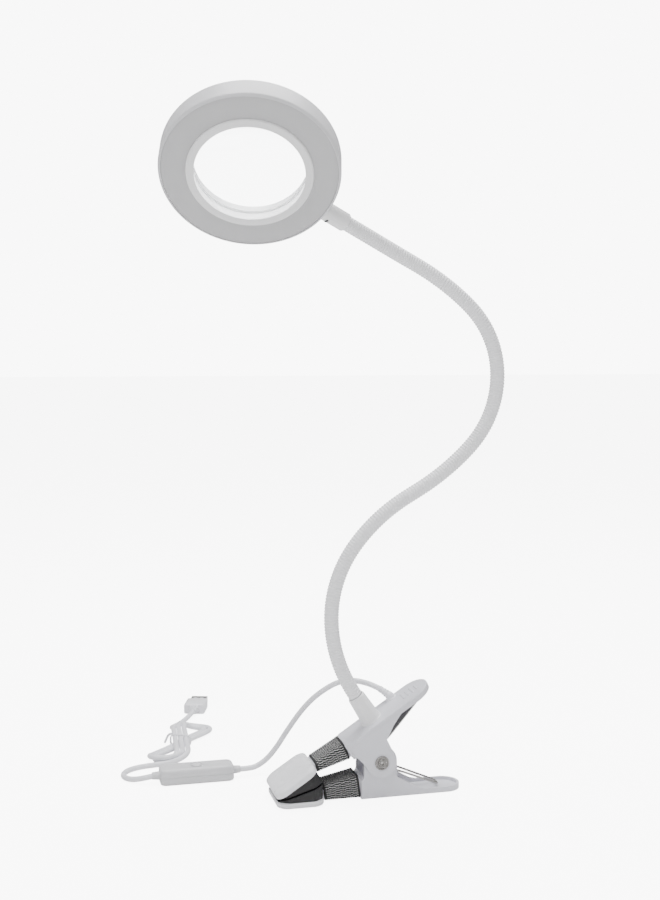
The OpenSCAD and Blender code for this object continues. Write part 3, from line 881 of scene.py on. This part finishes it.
def rivet():
    """The rivet with its star-shaped head and a washer on each side."""
    for tag, y in (("near", -1), ("far", 1)):
        face = shift(0, 0, PIVOT_Z) @ turn(90 if y < 0 else -90, "X")
        washer = lathe(f"washer_{tag}", rounded([
            (2.3, 12.05, 0.05), (4.3, 12.05, 0.2), (4.3, 12.95, 0.42), (3.5, 12.98, 0.35),
            (3.25, 12.55, 0.2),
            (2.3, 12.5, 0.1)], 5), face, rivet_mat, 72)
        piece(washer, "lower_lever", "steel", *(["rivet_washers"] if y < 0 else []))
        verts, faces = [], []
        rows = [(2.45, 12.4), (2.5, 12.9), (2.2, 13.25), (1.75, 13.35), (1.2, 13.2), (0.95, 12.6),
                (0.9, 11.6)]
        sides = 60
        for r, z in rows:
            for k in range(sides):
                a = 2 * PI * k / sides
                star = 0.5 + 0.5 * math.cos(5 * a)
                deep = 0.55 * star * smoothstep((2.3 - r) / 0.5) * (1 if r > 1 else 0)
                verts.append(face @ Vector((r * math.cos(a), r * math.sin(a), z - deep)))
        for i in range(len(rows) - 1):
            for k in range(sides):
                a, b = i * sides + k, i * sides + (k + 1) % sides
                faces.append((a, b, b + sides, a + sides))
        cap = crease(make(f"rivet_head_{tag}", verts, faces, rivet_mat), 50)
        piece(cap, "lower_lever", "steel", *(["pivot_rivet"] if y < 0 else []))
        # A near-black disc closing each rivet bore: painted shade at the bottom of the hole.
        bore_shade_disc = lathe(f"rivet_hole_shade_{tag}", [(0, 12.0), (0.95, 12.0)], face, shade_and_contacts_mat, 24,
                     closed=False)
        piece(bore_shade_disc, "lower_lever", "steel")
    bar = lathe("rivet_shaft", [(0, -12.2), (2.4, -12.2), (2.4, 12.2), (0, 12.2)],
                shift(0, 0, PIVOT_Z) @ turn(90, "X"), steel_mat, 48, closed=False)
    piece(bar, "lower_lever", "steel")


def spring():
    """Two coils side by side, each with a leg up to the handle and one down to the tray."""
    radius, wire = 3.9, 0.7
    parts = []
    for s in (-1, 1):
        line = [jaw @ Vector((40, 0, 15.4)), jaw @ Vector((40, 1.8 * s, 15.4)),
                jaw @ Vector((39.6, 3.1 * s, 15.3)),
                jaw @ Vector((38.2, 3.5 * s, 14.9)), jaw @ Vector((26, 3.4 * s, 11.2)),
                jaw @ Vector((12, 2.9 * s, 7.0))]
        start, stop = 106 + 33, 270 - 21 + 720
        steps = 110
        for i in range(steps + 1):
            a = math.radians(start + (stop - start) * i / steps)
            y = s * (2.1 + 3.3 * i / steps)
            line.append(Vector((radius * math.cos(a), y, PIVOT_Z + radius * math.sin(a))))
        line += [Vector((12, 5.0 * s, 14.3)), Vector((26, 4.2 * s, 8.6)),
                 Vector((36.4, 3.6 * s, 4.3)),
                 Vector((37.7, 3.1 * s, 3.7)), Vector((38, 1.8 * s, 3.6)), Vector((38, 0, 3.6))]
        parts.append(sweep(resample(catmull(line, 5), 0.6), wire, 12))
    verts, faces, uvs = joined(parts)
    obj = make("spring_wire", verts, faces, steel_mat, uvs)
    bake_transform(obj)
    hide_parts("torsion_spring")


# ---------- switch, tie, relief and plug ----------

def switch_pieces():
    """The inline switch with its two cord boots."""
    at = shift(-103, 48, 0)

    def rows_of(levels):
        return [[(x, y, z) for x, y in
                 rect_loop(23 - inset, 7.7 - inset, max(0.6, 3.2 - inset * 0.5))]
                for inset, z in levels]

    bottom = loft("switch_lower_half",
                  rows_of([(2.0, 0.0), (0.9, 0.12), (0.25, 0.6), (0.0, 1.4), (0.0, 4.7),
                           (0.16, 4.92), (0.5, 4.95)]),
                  at, switch_mat)
    piece(bottom, "lower_lever", "switch_plastic", "switch_bottom_cover")
    circle = [(math.cos(2 * PI * k / 96), math.sin(2 * PI * k / 96)) for k in range(96)]
    rows = rows_of([(0.5, 4.97), (0.16, 5.0), (0.0, 5.2), (0.0, 8.5), (0.3, 9.25), (0.95, 9.8),
                    (1.8, 10.0), (2.6, 10.0)])
    rows += [[(x * r, y * r, z) for x, y in circle] for r, z in
             ((4.65, 10.0), (4.45, 9.9), (4.4, 9.4), (4.3, 9.3), (3.3, 9.3), (3.25, 9.2),
              (3.25, 7.5))]
    top = loft("switch_upper_half", rows, at, switch_mat, cap_start=False, cap_end=False)
    piece(top, "lower_lever", "switch_plastic", "switch_top_cover")
    button = lathe("switch_cap",
                   [(0, 10.42), (1.0, 10.45), (2.1, 10.5), (2.7, 10.45), (2.98, 10.25), (3.05, 9.9),
                                  (3.05, 6.0), (0, 6.0)], at, button_mat, 64, closed=False)
    piece(button, "button", "switch_plastic", "switch_button")
    boots = []
    for tag, x, way in (("near", -80, 1), ("far", -126, -1)):
        line = [Vector((x - 1.0 * way + way * d, 48, 5)) for d in (0, 1, 2, 3, 4, 5, 5.6)]
        size = (lambda s: 2.75 - 0.09 * s)
        boot = tube(f"switch_boot_{tag}", line, size, switch_mat, 24)
        piece(boot, "lower_lever", "switch_plastic")
        boots.append(boot)
    return [bottom, top] + boots


def relief_piece():
    """The grooved strain relief on the handle."""
    root = jaw @ Vector((28, 8.5, 21.3))
    tip = Vector((5.5, 12.5, 60.5))
    up = (jaw.to_3x3() @ Vector((0, 0, 1)))
    line = catmull([root, root + up * 1.6, root.lerp(tip, 0.42) + up * 1.3,
                    root.lerp(tip, 0.75) + up * 0.5, tip], 10)
    line = resample(line, 0.35)
    total = lengths(line)[-1]

    def size(s):
        body = 2.75 - 0.75 * smoothstep(s / total)
        groove = 0.28 if 0.25 < s / total < 0.9 and (s % 1.75) < 0.7 else 0.0
        return body - groove
    obj = tube("lead_relief", line, size, cord_mat, 28)
    foot = lathe("lead_relief_foot",
                 [(0.2, 21.3), (3.6, 21.35), (3.5, 21.8), (3.0, 22.2), (2.4, 22.4), (0.2, 22.4)],
                 jaw @ shift(28, 8.5, 0), cord_mat, 48, closed=False)
    piece(foot, "upper_lever", "cord_pvc")
    piece(obj, "upper_lever", "cord_pvc", "cord_relief")
    return [obj, foot]


def tie():
    """The band round the hank and its loose end."""
    ring = [hank @ Vector((0, x, 4.3 + z)) for x, z in
            (loop_point(7.0, 3.85, 2.6, i / 64) for i in range(65))]
    verts, faces = [], []
    across = (hank.to_3x3() @ Vector((1, 0, 0))).normalized()
    shape = rounded([(-1.1, -0.4, 0.3), (1.1, -0.4, 0.3), (1.1, 0.4, 0.35), (-1.1, 0.4, 0.35)], 3)
    middle = hank @ Vector((0, 0, 4.3))
    n = len(shape)
    for i in range(64):
        p = ring[i]
        along = (ring[(i + 1) % 64] - ring[i - 1]).normalized()
        out = along.cross(across).normalized()
        if out.dot(p - middle) < 0:
            out = -out
        verts += [p + across * a + out * b for a, b in shape]
    for i in range(64):
        for k in range(n):
            m, j = (k + 1) % n, (i + 1) % 64
            faces.append((i * n + k, i * n + m, j * n + m, j * n + k))
    band = crease(make("cord_tie", verts, faces, cord_mat), 50)
    piece(band, "lower_lever", "cord_pvc", "hank_tie")
    tail = [hank @ Vector(p) for p in ((0.2, 5.2, 8.5), (0.6, 7.6, 8.1), (1.6, 9.6, 6.2),
                                       (2.6, 11.2, 3.2), (3.0, 12.2, 1.2))]
    end = tube("cord_tie_end", catmull(tail, 6), 0.85, cord_mat, 12)
    piece(end, "lower_lever", "cord_pvc")
    return [band, end]


def plug_pieces():
    """The plug with its relief and metal shell."""
    at = shift(-86.2, 186.93, 0) @ turn(73, "Z")
    over = [(x, y) for x, y in rect_loop(7.7, 3.8, 1.3, 64)]

    def rows_of(levels):
        return [[(x, a * (1 - g / 7.7), 3.8 + b * (1 - g / 3.8)) for a, b in over] for x,
                g in levels]
    body = loft("plug_body", rows_of([(5.6, 1.2), (5.9, 0.5), (6.6, 0.06), (7.4, 0), (21.8, 0),
                                      (22.6, 0.12), (23.0, 0.6)]),
                at, cord_mat)
    piece(body, "lower_lever", "cord_pvc", "usb_overmould")
    stub = lathe("plug_relief",
                 [(1.8, 0.0), (2.3, 0.1), (2.5, 0.5), (2.6, 1.2), (2.55, 1.5), (2.2, 1.6),
                  (2.2, 2.0), (2.75, 2.1),
                                 (3.0, 3.0), (2.95, 3.3), (2.6, 3.4), (2.6, 3.8), (3.3, 3.95),
                                 (3.6, 5.0), (3.7, 6.3)],
                 at @ shift(0, 0, 3.8) @ turn(90, "Y"), cord_mat, 40, closed=False)
    piece(stub, "lower_lever", "cord_pvc")
    metal = soften("plug_shell", "usb_shell", shell_mat, "lower_lever", "usb_metal", 0.12, 2)
    dot = lathe("plug_shell_mark", [(0, 6.12), (0.55, 6.12), (0.75, 6.06), (0.8, 5.95)],
                at @ shift(24.6, 0.6, 0), shell_mat, 24, closed=False)
    piece(dot, "lower_lever", "usb_metal")
    return [body, stub, metal, dot]


head_pieces()
neck_pieces()
clip_pieces()
pads()
wraps()
rivet()
spring()
switch_parts = switch_pieces()
relief_parts = relief_piece()
tie_parts = tie()
plug_parts = plug_pieces()

for node, material in (("leds", led_mat), ("led_board", board_mat), ("board_screws", steel_mat),
                       ("collar_nut", steel_mat), ("neck_nut", steel_mat),
                       ("switch_contacts", shade_and_contacts_mat),
                       ("usb_tongue", pad_mat), ("usb_contacts", gold_mat)):
    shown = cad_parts[node]
    shown.data.materials.clear()
    shown.data.materials.append(material)
